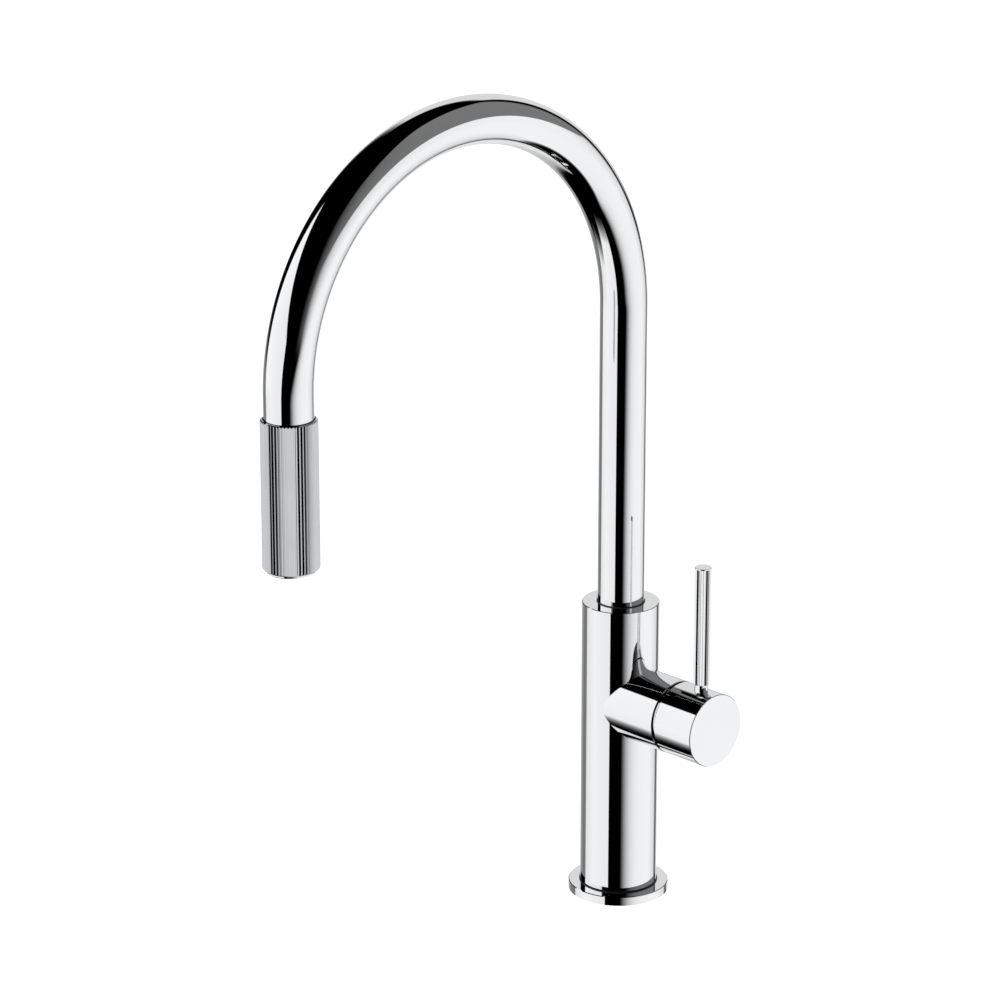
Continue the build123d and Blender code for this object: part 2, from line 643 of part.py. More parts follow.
def spray_core():
    """Plastic inside of the spray head: docking spigot above, water chamber below."""
    core = rod(NOZZLE_D, CORE_BOTTOM_Z, CORE_TOP_Z) + rod(SPIGOT_D, CORE_TOP_Z, SPIGOT_TOP_Z)
    core -= rod(HEAD_CHAMBER_D, CORE_BOTTOM_Z, HEAD_CHAMBER_TOP_Z)
    core -= rod(NIPPLE_D + 2 * RUNNING, HEAD_CHAMBER_TOP_Z, FERRULE_SEAT_Z)
    return under_spout(core - rod(FERRULE_POCKET_D, FERRULE_SEAT_Z, SPIGOT_TOP_Z))


def spray_sleeve():
    """Ridged metal sleeve of the spray head, open at the top round the end of the spout."""
    sleeve = ridged_rod(SLEEVE_D, SLEEVE_RIDGES, SLEEVE_BOTTOM_Z, SLEEVE_TOP_Z, SLEEVE_CHAMFER)
    sleeve -= rod(NOZZLE_D, SLEEVE_BOTTOM_Z, CORE_TOP_Z)
    return under_spout(sleeve - rod(TUBE_D + 2 * SLEEVE_CLEARANCE, CORE_TOP_Z, SLEEVE_TOP_Z))


def nozzle_ring():
    """Polished ring round the spray face, standing a little below the sleeve."""
    outside = rod(NOZZLE_D, NOZZLE_Z, CORE_BOTTOM_Z)
    foot_edge = outside.edges().filter_by(GeomType.CIRCLE).sort_by(Axis.Z)[0]
    outside = chamfer(foot_edge, NOZZLE_CHAMFER)
    return under_spout(outside - rod(NOZZLE_BORE_D, NOZZLE_Z, CORE_BOTTOM_Z))


def spray_face():
    """Spray plate with two circles of jets round a hole for the stream insert."""
    bottom_z = NOZZLE_Z + FACE_RECESS
    face = ring(NOZZLE_BORE_D, STREAM_INSERT_D, bottom_z, bottom_z + FACE_T)
    for circle_r, jets in JET_CIRCLES:
        for jet in range(jets):
            angle = 2 * math.pi * jet / jets
            place = Pos(circle_r * math.cos(angle), circle_r * math.sin(angle), 0)
            face -= place * rod(JET_D, bottom_z, bottom_z + FACE_T)
    return under_spout(face)


def stream_insert():
    """Round insert in the middle of the spray plate, drilled for the plain stream."""
    bottom_z = NOZZLE_Z + FACE_RECESS
    insert = rod(STREAM_INSERT_D, bottom_z, bottom_z + STREAM_INSERT_H)
    for hole in range(6):
        angle = math.pi * hole / 3
        place = Pos(STREAM_INSERT_D / 3.4 * math.cos(angle), STREAM_INSERT_D / 3.4 * math.sin(angle), 0)
        insert -= place * rod(STREAM_HOLE_D, bottom_z, bottom_z + STREAM_INSERT_H)
    return under_spout(insert - rod(STREAM_HOLE_D, bottom_z, bottom_z + STREAM_INSERT_H))


def face_seal():
    """Rubber ring between the spray plate and the core."""
    bottom_z = NOZZLE_Z + FACE_RECESS + FACE_T
    return under_spout(ring(NOZZLE_BORE_D, HEAD_CHAMBER_D, bottom_z, CORE_BOTTOM_Z))


def flow_regulator():
    """Plastic disc with one hole that evens out the flow above the spray plate."""
    disc = ring(HEAD_CHAMBER_D, STREAM_INSERT_D / 2, CORE_BOTTOM_Z, CORE_BOTTOM_Z + REGULATOR_H)
    return under_spout(disc)


PARTS = {
    "base_flange": base_flange,
    "deck_gasket": deck_gasket,
    "foot_washer": foot_washer,
    "body_column": body_column,
    "side_branch": side_branch,
    "shank_adapter": shank_adapter,
    "threaded_shank": threaded_shank,
    "clamp_gasket": clamp_gasket,
    "clamp_washer": clamp_washer,
    "mounting_nut": mounting_nut,
    "waterway_block": waterway_block,
    "port_seals": port_seals,
    "cartridge_base": cartridge_base,
    "fixed_disc": fixed_disc,
    "moving_disc": moving_disc,
    "disc_carrier": disc_carrier,
    "cartridge_housing": cartridge_housing,
    "rotor": rotor,
    "pivot_pin": pivot_pin,
    "cartridge_nut": cartridge_nut,
    "trim_dome": trim_dome,
    "stem": stem,
    "handle_hub": handle_hub,
    "lever_rod": lever_rod,
    "hub_set_screw": hub_set_screw,
    "spout_tube": spout_tube,
    "spout_bush_lower": lambda: spout_bush(LOWER_BUSH_Z),
    "spout_bush_upper": lambda: spout_bush(UPPER_BUSH_Z),
    "spout_wiper_ring": spout_wiper_ring,
    "spout_stop_pin": stop_pin_solid,
    "spout_retainer_clip": spout_retainer_clip,
    "dock_bush": dock_bush,
    "spray_hose": spray_hose,
    "hose_end": hose_end,
    "hose_inlet_fitting": hose_inlet_fitting,
    "hose_coupling": hose_coupling,
    "coupling_seal": coupling_seal,
    "coupling_clip": coupling_clip,
    "check_valve": check_valve,
    "spray_core": spray_core,
    "spray_sleeve": spray_sleeve,
    "nozzle_ring": nozzle_ring,
    "spray_face": spray_face,
    "stream_insert": stream_insert,
    "face_seal": face_seal,
    "flow_regulator": flow_regulator,
}

os.makedirs("parts", exist_ok=True)
for node, make in PARTS.items():
    export_step(make(), f"parts/{node}.step")
    print("wrote", node)
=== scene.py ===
import json
import math

import bmesh
import bpy
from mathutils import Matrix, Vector


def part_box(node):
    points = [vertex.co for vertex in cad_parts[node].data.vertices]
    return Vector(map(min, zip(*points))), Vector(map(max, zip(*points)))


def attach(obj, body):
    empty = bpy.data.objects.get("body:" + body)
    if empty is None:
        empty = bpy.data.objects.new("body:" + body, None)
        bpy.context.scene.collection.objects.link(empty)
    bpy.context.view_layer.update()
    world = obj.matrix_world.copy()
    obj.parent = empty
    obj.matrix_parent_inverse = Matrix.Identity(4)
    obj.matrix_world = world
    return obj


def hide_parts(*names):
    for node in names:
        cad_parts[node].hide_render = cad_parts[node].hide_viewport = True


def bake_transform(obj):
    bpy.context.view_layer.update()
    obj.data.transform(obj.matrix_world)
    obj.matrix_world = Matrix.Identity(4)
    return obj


# Pull-down kitchen faucet on a plain pale deck. Lengths are in metres, in the frame of the packed
# model: the origin is on the body's axis in the plane of the deck, +Z up, -Y towards the outlet.

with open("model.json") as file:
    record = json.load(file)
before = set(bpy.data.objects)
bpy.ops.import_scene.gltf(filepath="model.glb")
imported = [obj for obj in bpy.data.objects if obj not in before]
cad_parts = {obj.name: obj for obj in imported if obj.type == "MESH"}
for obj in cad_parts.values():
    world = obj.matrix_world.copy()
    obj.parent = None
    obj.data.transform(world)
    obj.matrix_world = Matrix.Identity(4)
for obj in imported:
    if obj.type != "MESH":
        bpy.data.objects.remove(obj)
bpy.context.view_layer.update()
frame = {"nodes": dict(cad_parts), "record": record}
MM = 0.001
TURN = 2 * math.pi

# --- Sizes of the pieces made here -------------------------------------------------------------
TUBE_R = 14.0 * MM
TUBE_WALL = 1.2 * MM
ARCH_R = 130.5 * MM
ARCH_BASE_Z = 370.0 * MM
REACH = 2 * ARCH_R
HOSE_R = 6.0 * MM

BODY_R = 23.3 * MM
BODY_CHAMFER = 0.35 * MM
BODY_BORE_R = 20.8 * MM
SOCKET_R = 17.0 * MM
SOCKET_BOTTOM_Z = 148.0 * MM
SOCKET_TOP_Z = 183.0 * MM
WIPER_R = 14.6 * MM
HUB_Z = 124.4 * MM
HUB_R = 22.15 * MM
HUB_WALL = 1.65 * MM
HUB_FRONT_T = 3.5 * MM
HUB_CHAMFER = 0.35 * MM
HUB_FACE_RIM = 2.0 * MM
BRANCH_BORE_R = HUB_R - 2.5 * MM
SADDLE_LAP = 0.02 * MM
FLANGE_CHAMFER = 0.4 * MM
GASKET_IN_R = 20.0 * MM
GASKET_OUT_R = 27.0 * MM
GASKET_T = 1.5 * MM
SHANK_HOLE_R = 16.3 * MM
NOZZLE_CHAMFER = 0.5 * MM
NOZZLE_WALL = 2.3 * MM
TUBE_OUTLET_Z = 332.5 * MM

SLEEVE_RIDGES = 50
SLEEVE_CORE_DEPTH = 26.0 * MM
SLEEVE_CHAMFER = 0.9 * MM
SLEEVE_POCKET_R = 14.6 * MM
SLEEVE_BORE_R = 13.8 * MM
SLEEVE_SLOPE = math.tan(math.radians(30.0))
LEVER_X = 66.8 * MM
LEVER_R = 5.0 * MM
LEVER_NECK_R = 4.0 * MM
LEVER_RIDGES = 18
LEVER_FLUTED_Z = 151.0 * MM
LEVER_CAP_T = 0.8 * MM
LEVER_CAP_LAP = 0.02 * MM
LEVER_CAP_EDGE = 0.15 * MM
LEVER_SLOPE = math.tan(math.radians(37.0))
LEVER_FIRST_CREST = math.radians(7.5)

SHANK_R = 16.0 * MM
SHANK_BORE_R = 14.0 * MM
SHANK_CHAMFER = 1.0 * MM
THREAD_PITCH = 2.0 * MM
THREAD_DEPTH = 0.9 * MM
THREAD_TOP_Z = -1.0 * MM
JET_CIRCLES = ((7.4 * MM, 12), (9.8 * MM, 18))
JET_RIM_R = 0.85 * MM
JET_RIM_THICKNESS = 0.28 * MM
DECK_HOLE_R = 17.5 * MM
DECK_R = 8.0
DECK_DROP = 0.3 * MM

# --- How finely they are divided, and the sharpest edge in degrees that is still shaded smooth --
BODY_SIDES = 192
OPENING_SIDES = 96
DECK_SIDES = 96
TUBE_SIDES = 112
TUBE_STEPS = 280
HOSE_SIDES = 40
HOSE_STEPS = 200
PULL_HOSE_SIDES = 48
PULL_HOSE_ROWS = 60
SHANK_SIDES = 72
ROWS_PER_THREAD = 8
SIDES_PER_RIDGE = 12
CREST_ROUNDING = 0.04
TURNED_EDGE_DEG = 25.0
TUBE_EDGE_DEG = 40.0
RIDGE_EDGE_DEG = 16.0
JET_EDGE_DEG = 60.0


# --- Node trees --------------------------------------------------------------------------------
class Num:
    """A number in a node tree. Arithmetic on it adds Math nodes."""

    def __init__(self, bench, socket):
        self.bench = bench
        self.socket = socket

    def __add__(self, other):
        return self.bench.math("ADD", self, other)

    def __sub__(self, other):
        return self.bench.math("SUBTRACT", self, other)

    def __mul__(self, other):
        return self.bench.math("MULTIPLY", self, other)

    def __truediv__(self, other):
        return self.bench.math("DIVIDE", self, other)

    def __pow__(self, other):
        return self.bench.math("POWER", self, other)

    def __rsub__(self, other):
        return self.bench.math("SUBTRACT", other, self)

    __radd__ = __add__
    __rmul__ = __mul__


class Bench:
    """Adds nodes to one tree and joins them up."""

    def __init__(self, tree):
        self.tree = tree
        tree.nodes.clear()

    def node(self, kind, settings=None, inputs=None):
        made = self.tree.nodes.new(kind)
        for name, value in (settings or {}).items():
            if name == "stops":
                self.set_stops(made.color_ramp, value)
            else:
                setattr(made, name, value)
        for name, value in (inputs or {}).items():
            self.feed(made.inputs[name], value)
        return made

    def feed(self, socket, value):
        if isinstance(value, Num):
            value = value.socket
        if isinstance(value, bpy.types.NodeSocket):
            self.tree.links.new(value, socket)
        else:
            socket.default_value = value

    def set_stops(self, ramp, stops):
        while len(ramp.elements) < len(stops):
            ramp.elements.new(0.5)
        for element, (place, colour) in zip(ramp.elements, stops):
            element.position = place
            element.color = (*colour, 1.0)

    def math(self, operation, *values):
        made = self.node("ShaderNodeMath", {"operation": operation}, dict(enumerate(values)))
        return Num(self, made.outputs[0])

    def smallest(self, a, b):
        return self.math("MINIMUM", a, b)

    def largest(self, first, *others):
        for other in others:
            first = self.math("MAXIMUM", first, other)
        return first

    def limited(self, value):
        """The value held between 0 and 1."""
        return self.smallest(self.largest(value, 0.0), 1.0)

    def past(self, value, edge, softness):
        """0 below the edge, 1 above it, with a soft change between them."""
        return self.limited((value - edge) / softness + 0.5)

    def dot(self, vector, fixed):
        made = self.node("ShaderNodeVectorMath", {"operation": "DOT_PRODUCT"},
                         {0: vector, 1: fixed})
        return Num(self, made.outputs["Value"])

    def parts(self, vector):
        made = self.node("ShaderNodeSeparateXYZ", inputs={0: vector})
        return [Num(self, made.outputs[axis]) for axis in "XYZ"]


# --- Finishes ----------------------------------------------------------------------------------
def finish(name, build):
    """A material whose shader is built on a bench, from the piece's own coordinates."""
    made = bpy.data.materials.new(name)
    made.use_nodes = True
    bench = Bench(made.node_tree)
    place = bench.node("ShaderNodeTexCoord").outputs["Object"]
    shader = build(bench, place)
    bench.node("ShaderNodeOutputMaterial", inputs={"Surface": shader.outputs[0]})
    return made


def mottle(bench, place, scale, detail=3.0):
    """Soft uneven noise from 0 to 1; scale is in blotches per metre."""
    made = bench.node("ShaderNodeTexNoise", inputs={
        "Vector": place, "Scale": scale, "Detail": detail})
    return Num(bench, made.outputs[0])


def stretched(bench, place, scale):
    """The place scaled by a different amount along each axis, for marks that run one way."""
    return bench.node("ShaderNodeMapping", inputs={"Vector": place, "Scale": scale}).outputs[0]


def tinted(bench, amount, dark, light):
    """A colour between two, by an amount from 0 to 1."""
    made = bench.node("ShaderNodeValToRGB", {"stops": ((0.0, dark), (1.0, light))}, {"Fac": amount})
    return made.outputs[0]


def raised(bench, height, depth, strength):
    """A bump whose height runs from 0 to 1 over a depth in metres."""
    made = bench.node("ShaderNodeBump", inputs={
        "Height": height, "Distance": depth, "Strength": strength})
    return made.outputs[0]


def chrome(bench, place):
    """Mirror chrome: faint wiping haze and hairline marks only show in the gloss."""
    haze = mottle(bench, place, 35.0)
    hairlines = mottle(bench, stretched(bench, place, (900.0, 900.0, 60.0)), 3.0, 2.0)
    return bench.node("ShaderNodeBsdfPrincipled", inputs={
        "Base Color": tinted(bench, haze, (0.885, 0.89, 0.90), (0.915, 0.92, 0.93)),
        "Metallic": 1.0,
        "Roughness": 0.018 + haze * 0.02 + hairlines * 0.012,
        "Normal": raised(bench, hairlines, 0.000002, 0.25)})


def ridged_chrome_with_painted_shade(bench, place):
    """Chrome over cut ridges, a little rougher than the mirror polish, with painted shade in its
    darker base colour.
    """
    haze = mottle(bench, place, 60.0)
    cutter_marks = mottle(bench, stretched(bench, place, (1500.0, 1500.0, 40.0)), 2.0, 2.0)
    return bench.node("ShaderNodeBsdfPrincipled", inputs={
        # Painted shade: the base colour is held well below the mirror chrome's to dim the whole
        # sleeve; the haze and cutter marks only vary it as real marks.
        "Base Color": tinted(bench, haze * 0.6 + cutter_marks * 0.4,
                             (0.55, 0.555, 0.57), (0.66, 0.665, 0.68)),
        "Metallic": 1.0,
        "Roughness": 0.035 + haze * 0.02 + cutter_marks * 0.02,
        "Normal": raised(bench, cutter_marks, 0.000003, 0.3)})


def turned_metal(dark, light, polish):
    """Lathe-turned metal with fine rings along its height."""
    def build(bench, place):
        rings = mottle(bench, stretched(bench, place, (30.0, 30.0, 3500.0)), 1.0)
        blotches = mottle(bench, place, 120.0)
        return bench.node("ShaderNodeBsdfPrincipled", inputs={
            "Base Color": tinted(bench, rings * 0.4 + blotches * 0.6, dark, light),
            "Metallic": 1.0,
            "Roughness": polish + rings * 0.10 + blotches * 0.06,
            "Normal": raised(bench, rings, 0.00003, 0.6)})
    return build


def moulded(dark, light, gloss, grain_depth, softness=0.5):
    """Moulded rubber or plastic with a fine spark-eroded grain."""
    def build(bench, place):
        grain = mottle(bench, place, 1800.0, 2.0)
        blotches = mottle(bench, place, 90.0)
        return bench.node("ShaderNodeBsdfPrincipled", inputs={
            "Base Color": tinted(bench, blotches * 0.7 + grain * 0.3, dark, light),
            "Roughness": gloss + grain * 0.12 + blotches * 0.05,
            "Specular IOR Level": softness,
            "Normal": raised(bench, grain, grain_depth, 0.5)})
    return build


def lapped_ceramic(bench, place):
    """Off-white ceramic with a lapped sheen and a few darker specks."""
    specks = mottle(bench, place, 2500.0, 1.0)
    cloud = mottle(bench, place, 150.0)
    dark = bench.past(specks, 0.68, 0.05)
    tone = bench.limited(cloud * 0.6 + 0.4 - dark * 0.5)
    return bench.node("ShaderNodeBsdfPrincipled", inputs={
        "Base Color": tinted(bench, tone, (0.62, 0.60, 0.55), (0.92, 0.91, 0.88)),
        "Roughness": 0.16 + cloud * 0.1,
        "Normal": raised(bench, specks, 0.00001, 0.3)})


def braid_of(centre_y, strands=12, lay=9.0 * MM):
    """A tight braid of two crossing sets of flat strands round an upright axis."""
    def build(bench, place):
        x, y, z = bench.parts(place)
        around = bench.math("ARCTAN2", y - centre_y, x) * (strands / TURN)
        along = z * (strands / lay)
        right_hand = bench.math("PINGPONG", bench.math("FRACT", around + along), 0.5) * 2.0
        left_hand = bench.math("PINGPONG", bench.math("FRACT", around - along), 0.5) * 2.0
        over = bench.past(bench.math("SINE", (around + along) * math.pi)
                          * bench.math("SINE", (around - along) * math.pi), 0.0, 0.25)
        strand = right_hand * over + left_hand * (1.0 - over)
        wires = bench.math("PINGPONG", bench.math("FRACT", strand * 2.5), 0.5) * 2.0
        # The colour below darkens with this height, so the creases between strands and between
        # wires carry painted shade; its near-black, non-metallic bottom stands for the gaps between
        # the strands.
        height = bench.limited(strand * 1.4) * 0.75 + wires * 0.25
        return bench.node("ShaderNodeBsdfPrincipled", inputs={
            "Base Color": tinted(bench, height, (0.03, 0.03, 0.035), (0.52, 0.53, 0.55)),
            "Metallic": bench.limited(height * 1.2),
            "Roughness": 0.50 - height * 0.2,
            "Normal": raised(bench, height, 0.0004, 0.9)})
    return build


CHROME = finish("polished_chrome", chrome)
# The ridged chrome's darker base colour is painted shade on the spray sleeve.
RIDGED_CHROME_WITH_PAINTED_SHADE = finish("ridged_chrome_with_painted_shade", ridged_chrome_with_painted_shade)
BRASS = finish("turned_brass", turned_metal((0.62, 0.43, 0.19), (0.80, 0.60, 0.30), 0.20))
STEEL = finish("turned_steel", turned_metal((0.48, 0.48, 0.50), (0.66, 0.67, 0.69), 0.22))
RUBBER = finish("black_rubber", moulded(
    (0.012, 0.012, 0.013), (0.03, 0.03, 0.032), 0.55, 0.00006, 0.35))
DARK_PLASTIC = finish("dark_plastic", moulded(
    (0.015, 0.015, 0.017), (0.045, 0.045, 0.05), 0.32, 0.00003))
WHITE_PLASTIC = finish("white_plastic", moulded(
    (0.70, 0.70, 0.68), (0.84, 0.84, 0.82), 0.34, 0.00003))
GREY_PLASTIC = finish("grey_plastic", moulded(
    (0.12, 0.12, 0.13), (0.20, 0.20, 0.21), 0.36, 0.00003))
SPRAY_PLASTIC = finish("spray_face_plastic", moulded(
    (0.16, 0.17, 0.18), (0.26, 0.27, 0.28), 0.34, 0.00003))
SILICONE = finish("jet_silicone", moulded(
    (0.26, 0.27, 0.28), (0.38, 0.39, 0.40), 0.5, 0.00002, 0.4))
CERAMIC = finish("valve_ceramic", lapped_ceramic)
HOSE_BRAID = finish("hose_braid", braid_of(0.0))
PULL_HOSE_BRAID = finish("pull_hose_braid", braid_of(-REACH))

FINISH_OF_SLOT = {
    "polished_chrome": CHROME, "brass": BRASS, "steel": STEEL, "black_rubber": RUBBER,
    "dark_plastic": DARK_PLASTIC, "white_plastic": WHITE_PLASTIC, "grey_plastic": GREY_PLASTIC,
    "spray_face_plastic": SPRAY_PLASTIC, "valve_ceramic": CERAMIC, "braided_hose": HOSE_BRAID}


def dress_packed_nodes():
    """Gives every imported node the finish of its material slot."""
    for part in frame["record"]["subparts"]:
        mesh = frame["nodes"][part["node"]].data
        mesh.materials.clear()
        mesh.materials.append(FINISH_OF_SLOT[part["material_slot"]])


# --- Shapes ------------------------------------------------------------------------------------
def turned_mesh(name, outline, segments, centre=(0.0, 0.0), closed=True, first_angle=0.0):
    """A mesh turned round an upright axis from (radius, height) points, its faces outwards.

    The outline goes up the outside. A closed one comes back down a bore; an open one starts and
    ends on the axis.
    """
    work = bmesh.new()
    rings = []
    for radius, height in outline:
        if radius == 0.0:
            rings.append([work.verts.new((centre[0], centre[1], height))] * segments)
            continue
        ring = []
        for step in range(segments):
            angle = first_angle + TURN * step / segments
            ring.append(work.verts.new((centre[0] + radius * math.cos(angle),
                                        centre[1] + radius * math.sin(angle), height)))
        rings.append(ring)
    pairs = list(zip(rings, rings[1:]))
    if closed:
        pairs.append((rings[-1], rings[0]))
    for low, high in pairs:
        for step in range(segments):
            after = (step + 1) % segments
            corners = []
            for corner in (low[step], low[after], high[after], high[step]):
                if corner not in corners:
                    corners.append(corner)
            if len(corners) > 2:
                work.faces.new(corners)
    mesh = bpy.data.meshes.new(name)
    work.to_mesh(mesh)
    work.free()
    return mesh


def steps_between(start, end, count):
    """Points of an outline from one to another, without the last."""
    return [(start[0] + (end[0] - start[0]) * i / count,
             start[1] + (end[1] - start[1]) * i / count) for i in range(count)]


def smooth_below(mesh, angle_deg):
    """Smooth shading, with edges sharper than the angle kept crisp."""
    mesh.shade_smooth()
    mesh.set_sharp_from_angle(angle=math.radians(angle_deg))


def grown(name, material, sizes, build, mesh=None):
    """A piece made by a Geometry Nodes tree with named sizes, turned into a plain mesh."""
    tree = bpy.data.node_groups.new(name + "_tree", "GeometryNodeTree")
    tree.interface.new_socket("Geometry", in_out="OUTPUT", socket_type="NodeSocketGeometry")
    tree.interface.new_socket("Geometry", in_out="INPUT", socket_type="NodeSocketGeometry")
    identifiers = {}
    for label, value in sizes.items():
        kind = "NodeSocketInt" if isinstance(value, int) else "NodeSocketFloat"
        socket = tree.interface.new_socket(label, in_out="INPUT", socket_type=kind)
        identifiers[label] = socket.identifier
    bench = Bench(tree)
    entry = bench.node("NodeGroupInput")
    given = {label: Num(bench, entry.outputs[label]) for label in sizes}
    shape = build(bench, entry.outputs["Geometry"], given)
    real = bench.node("GeometryNodeRealizeInstances", inputs={"Geometry": shape})
    dressed = bench.node("GeometryNodeSetMaterial", inputs={
        "Geometry": real.outputs[0], "Material": material})
    bench.node("NodeGroupOutput", inputs={"Geometry": dressed.outputs[0]})

    piece = bpy.data.objects.new(name, mesh or bpy.data.meshes.new(name))
    bpy.context.scene.collection.objects.link(piece)
    modifier = piece.modifiers.new("shape", "NODES")
    modifier.node_group = tree
    for label, value in sizes.items():
        modifier[identifiers[label]] = value
    evaluated = piece.evaluated_get(bpy.context.evaluated_depsgraph_get())
    made = bpy.data.meshes.new_from_object(evaluated)
    piece.modifiers.remove(modifier)
    piece.data = made
    made.name = name
    return piece


def gooseneck_path(bench, geometry, sizes):
    """Sweeps a circle up the riser, over the arch and down to the outlet."""
    start, end = (0.0, 0.0, 0.0), (0.0, 0.0, 1.0)
    line = bench.node("GeometryNodeCurvePrimitiveLine", inputs={"Start": start, "End": end})
    points = bench.node("GeometryNodeResampleCurve", inputs={
        "Curve": line.outputs[0], "Count": sizes["Steps"].socket})
    arch_r, riser = sizes["Arch radius"], sizes["Arch base"] - sizes["Foot"]
    length = riser + arch_r * math.pi + (sizes["Arch base"] - sizes["Outlet"])
    factor = Num(bench, bench.node("GeometryNodeSplineParameter").outputs["Factor"])
    gone = factor * length
    swept = bench.smallest(bench.largest((gone - riser) / arch_r, 0.0), math.pi)
    descent = bench.largest(gone - riser - arch_r * math.pi, 0.0)
    height = (sizes["Foot"] + bench.smallest(gone, riser)
              + bench.math("SINE", swept) * arch_r - descent)
    reach = (bench.math("COSINE", swept) - 1.0) * arch_r
    place = bench.node("ShaderNodeCombineXYZ", inputs={"Y": reach, "Z": height})
    bent = bench.node("GeometryNodeSetPosition", inputs={
        "Geometry": points.outputs[0], "Position": place.outputs[0]})
    circle = bench.node("GeometryNodeCurvePrimitiveCircle", inputs={
        "Resolution": sizes["Sides"].socket, "Radius": sizes["Radius"]})
    swept_mesh = bench.node("GeometryNodeCurveToMesh", inputs={
        "Curve": bent.outputs[0], "Profile Curve": circle.outputs[0]})
    return swept_mesh.outputs[0]


def place_round(bench, sizes):
    """Position of a point about an upright centre: (x, y, z) from it, its radius and its angle."""
    x, y, z = bench.parts(bench.node("GeometryNodeInputPosition").outputs[0])
    x, y = x - sizes["Centre X"], y - sizes["Centre Y"]
    radius = bench.math("SQRT", x * x + y * y)
    return x, y, z, bench.largest(radius, 1e-7), bench.math("ARCTAN2", y, x)


def pulled_in(bench, geometry, sizes, x, y, z, scale):
    """Moves every point towards the centre, to a share of its radius."""
    moved = bench.node("ShaderNodeCombineXYZ", inputs={
        "X": sizes["Centre X"] + x * scale, "Y": sizes["Centre Y"] + y * scale, "Z": z})
    made = bench.node("GeometryNodeSetPosition", inputs={
        "Geometry": geometry, "Position": moved.outputs[0]})
    return made.outputs[0]


def cut_ridges(bench, geometry, sizes):
    """Cuts straight V ridges with slightly rounded crests between two heights."""
    x, y, z, radius, angle = place_round(bench, sizes)
    phase = bench.math("FRACT", (angle - sizes["First crest"]) * sizes["Ridges"] / TURN + 0.5)
    from_crest = bench.math("ABSOLUTE", phase - 0.5) * 2.0
    rounding = sizes["Rounding"]
    eased = bench.math("SQRT", from_crest * from_crest + rounding * rounding) - rounding
    ridged = bench.smallest(radius, sizes["Crest radius"] - sizes["Depth"] * eased)
    inside = bench.math("GREATER_THAN", z, sizes["From"]) * bench.math("LESS_THAN", z, sizes["To"])
    outside_bore = bench.math("GREATER_THAN", radius, sizes["Crest radius"] - sizes["Depth"] * 2.0)
    scale = 1.0 + (ridged / radius - 1.0) * inside * outside_bore
    return pulled_in(bench, geometry, sizes, x, y, z, scale)


def cut_thread(bench, geometry, sizes):
    """Cuts one helical thread between two heights, running out softly at both ends."""
    x, y, z, radius, angle = place_round(bench, sizes)
    phase = bench.math("FRACT", z / sizes["Pitch"] - angle / TURN)
    groove = bench.limited(1.25 - bench.math("ABSOLUTE", phase - 0.5) * 2.5)
    run_out = (bench.limited((z - sizes["From"]) / sizes["Pitch"])
               * bench.limited((sizes["To"] - z) / sizes["Pitch"]))
    outside_bore = bench.math("GREATER_THAN", radius, sizes["Crest radius"] - sizes["Depth"] * 0.5)
    scale = 1.0 - sizes["Depth"] * groove * run_out * outside_bore / radius
    return pulled_in(bench, geometry, sizes, x, y, z, scale)


def ring_of_jets(bench, geometry, sizes):
    """Small soft rims, one round each jet of a circle of jets."""
    circle = bench.node("GeometryNodeCurvePrimitiveCircle", inputs={
        "Resolution": sizes["Jets"].socket, "Radius": sizes["Circle radius"]})
    place = bench.node("ShaderNodeCombineXYZ", inputs={
        "X": sizes["Centre X"], "Y": sizes["Centre Y"], "Z": sizes["Height"]})
    moved = bench.node("GeometryNodeTransform", inputs={
        "Geometry": circle.outputs[0], "Translation": place.outputs[0]})
    rim_path = bench.node("GeometryNodeCurvePrimitiveCircle", inputs={
        "Resolution": 14, "Radius": sizes["Rim radius"]})
    rim_round = bench.node("GeometryNodeCurvePrimitiveCircle", inputs={
        "Resolution": 7, "Radius": sizes["Rim thickness"]})
    rim = bench.node("GeometryNodeCurveToMesh", inputs={
        "Curve": rim_path.outputs[0], "Profile Curve": rim_round.outputs[0]})
    rims = bench.node("GeometryNodeInstanceOnPoints", inputs={
        "Points": moved.outputs[0], "Instance": rim.outputs[0]})
    return rims.outputs[0]


# --- Pieces ------------------------------------------------------------------------------------
def keep(piece, body, slot, *nodes):
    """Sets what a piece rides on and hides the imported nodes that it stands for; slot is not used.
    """
    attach(piece, body)
    if nodes:
        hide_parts(*nodes)


def put_out(name, mesh):
    """A piece that shows a mesh, added to the scene at the origin."""
    piece = bpy.data.objects.new(name, mesh)
    bpy.context.scene.collection.objects.link(piece)
    return piece


def make_gooseneck():
    sizes = {"Foot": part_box("spout_tube")[0].z, "Arch base": ARCH_BASE_Z, "Arch radius": ARCH_R,
             "Outlet": TUBE_OUTLET_Z, "Radius": TUBE_R, "Steps": TUBE_STEPS, "Sides": TUBE_SIDES}
    tube = grown("gooseneck", CHROME, sizes, gooseneck_path)
    wall = tube.modifiers.new("wall", "SOLIDIFY")
    wall.thickness = TUBE_WALL
    wall.offset = -1.0
    evaluated = tube.evaluated_get(bpy.context.evaluated_depsgraph_get())
    walled = bpy.data.meshes.new_from_object(evaluated)
    tube.modifiers.remove(wall)
    tube.data = walled
    smooth_below(walled, TUBE_EDGE_DEG)
    keep(tube, "spout", "polished_chrome", "spout_tube")


def add_turned(name, node, outline, body="faucet_body", centre=(0.0, 0.0), shape=None):
    """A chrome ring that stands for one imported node; shape may lay it over or cut it."""
    mesh = turned_mesh(name, outline, BODY_SIDES, centre)
    if shape:
        shape(mesh)
    mesh.materials.append(CHROME)
    smooth_below(mesh, TURNED_EDGE_DEG)
    keep(put_out(name, mesh), body, "polished_chrome", node)


